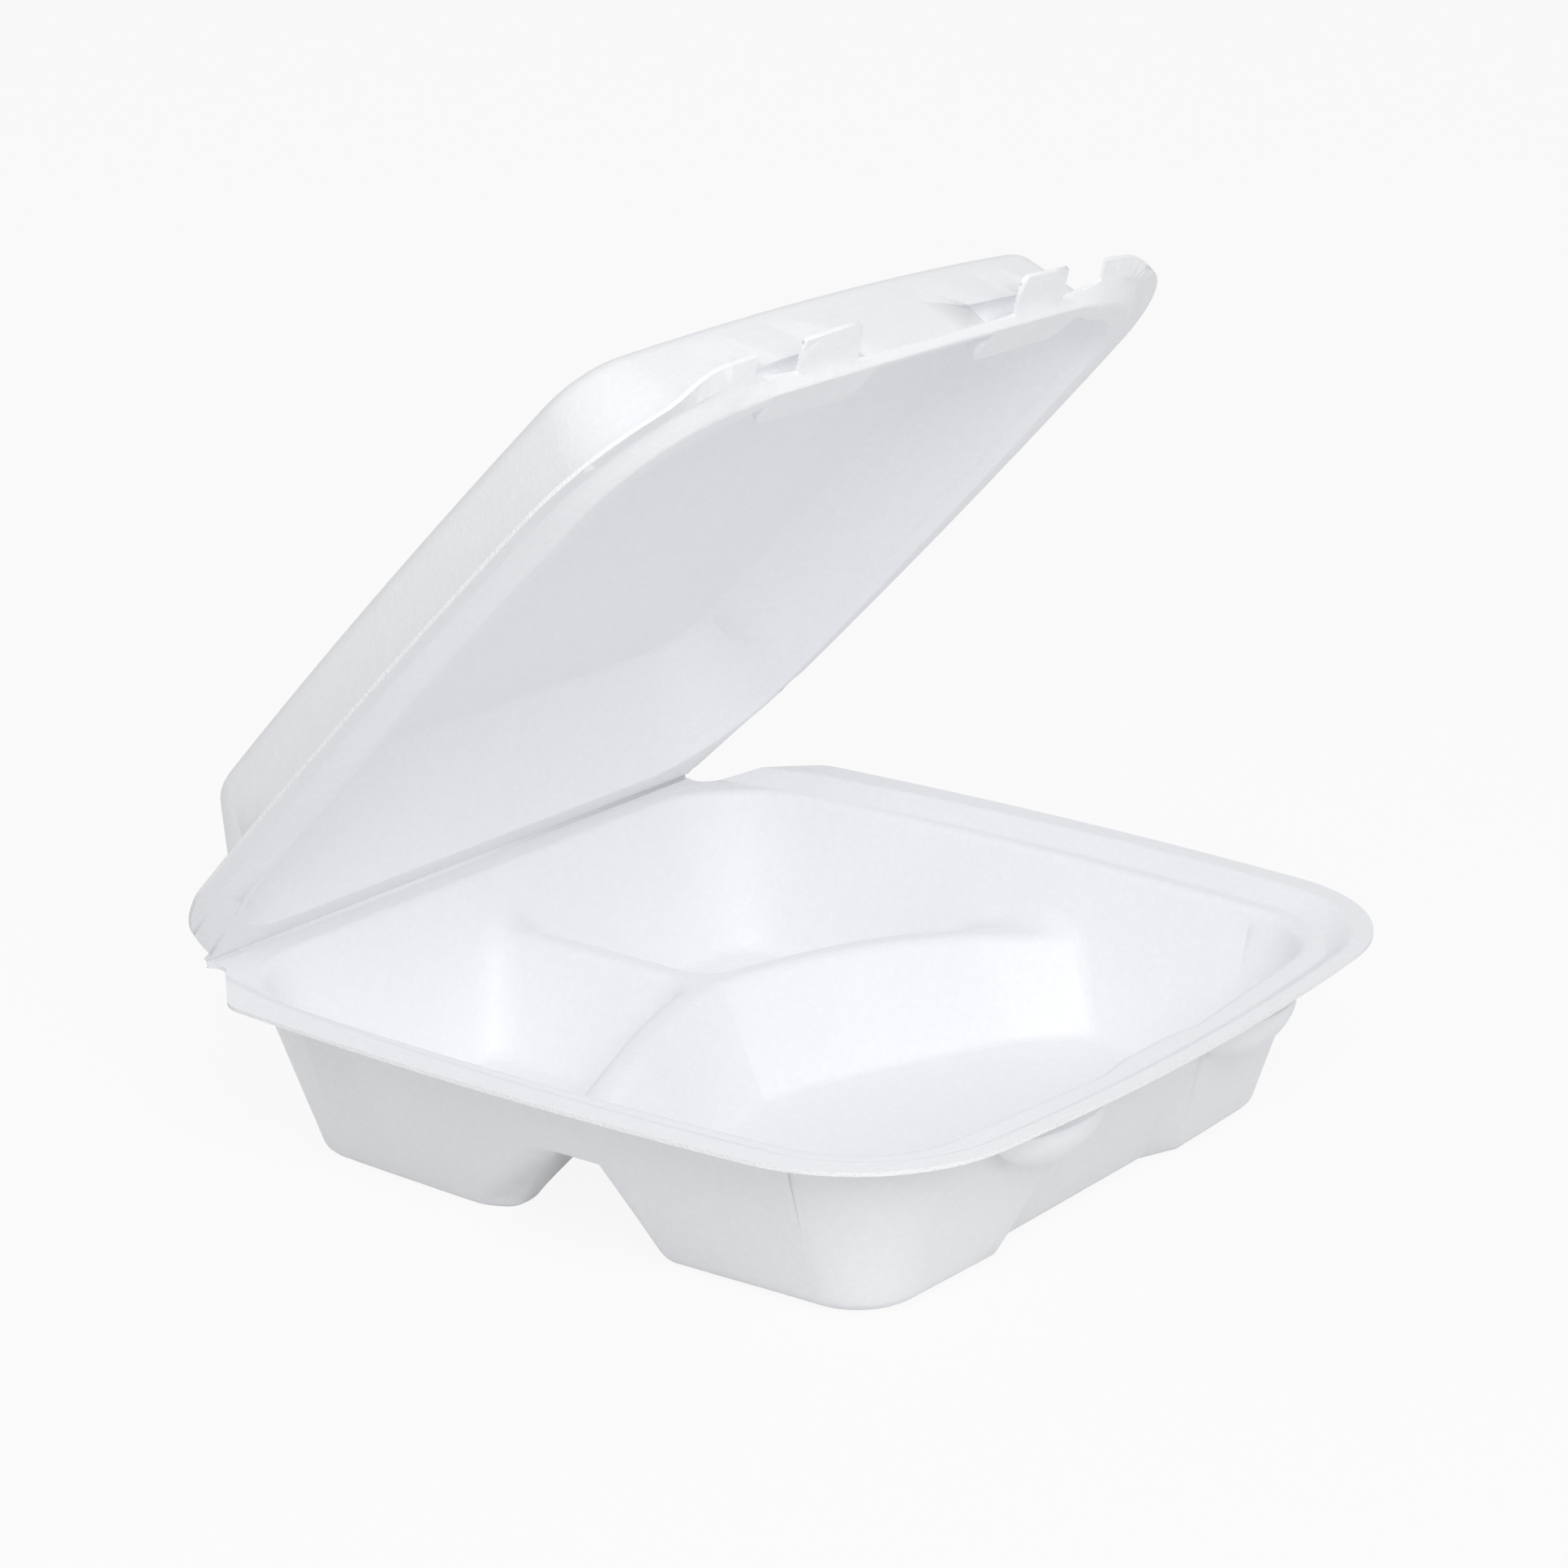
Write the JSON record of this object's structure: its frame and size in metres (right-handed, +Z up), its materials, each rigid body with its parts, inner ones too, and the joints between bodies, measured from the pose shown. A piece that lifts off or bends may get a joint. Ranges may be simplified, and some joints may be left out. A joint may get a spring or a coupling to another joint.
{
  "type": "foam clamshell container",
  "caption": "Square foam takeaway container with a divided tray and a shallow lid on a moulded hinge, closed by press-through tabs.",
  "frame": {"origin": "on the resting face under the front compartment, 110 mm in front of the hinge line", "axes": "+Z up from the resting face, +Y from the latch towards the hinge, X along the hinge"},
  "size_m": [0.2416, 0.2331, 0.2138],
  "materials": {
    "base_tray": "fine foam grain with a soft sheen",
    "lid": "fine foam grain with a soft sheen"
  },
  "bodies": {
    "tray": {"base_tray": "base_tray"},
    "cover": {"lid": "lid"}
  },
  "joints": [
    {"name": "lid_hinge", "type": "hinge", "parent": "tray", "child": "cover", "pos_m": [0, 0.11, 0.0445], "axis": [-1, 0, 0], "range_deg": [-46, 134]}
  ]
}
